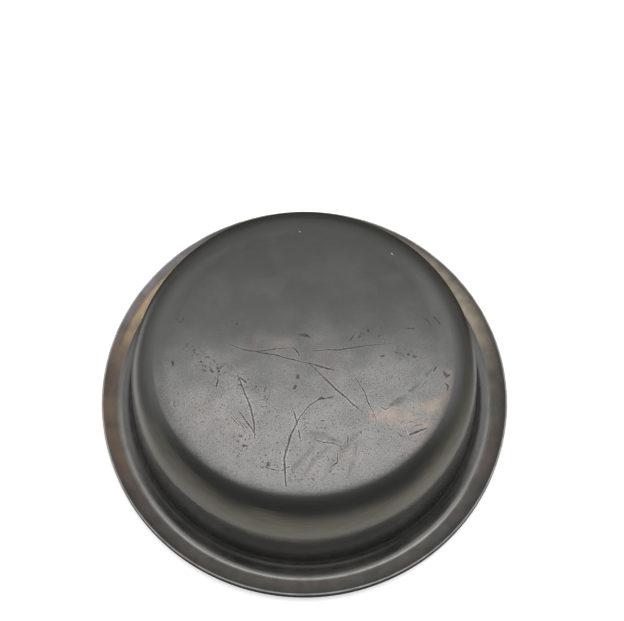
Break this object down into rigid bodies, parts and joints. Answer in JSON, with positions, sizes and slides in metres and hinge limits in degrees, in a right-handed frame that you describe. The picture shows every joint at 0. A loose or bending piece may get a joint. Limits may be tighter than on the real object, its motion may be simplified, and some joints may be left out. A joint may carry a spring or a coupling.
{
  "type": "rubber cup diaphragm",
  "caption": "Round moulded rubber cup with a flat closed end, a drafted wall and a wedge rim with a sealing bead, clamped by its rim to seal a pressure chamber and push on a plate.",
  "frame": {"origin": "on the cup's axis, in the plane that the sealing bead under the rim rests on", "axes": "+Z along the cup's axis, up through the closed end; X and Y lie in the rim's plane, and the cup looks the same all round"},
  "size_m": [0.208, 0.208, 0.062],
  "materials": {
    "moulded_rubber": "satin moulded rubber, dusty with a light bloom, scratched on the closed end"
  },
  "bodies": {
    "root": {"diaphragm_cup": "moulded_rubber"}
  },
  "joints": []
}
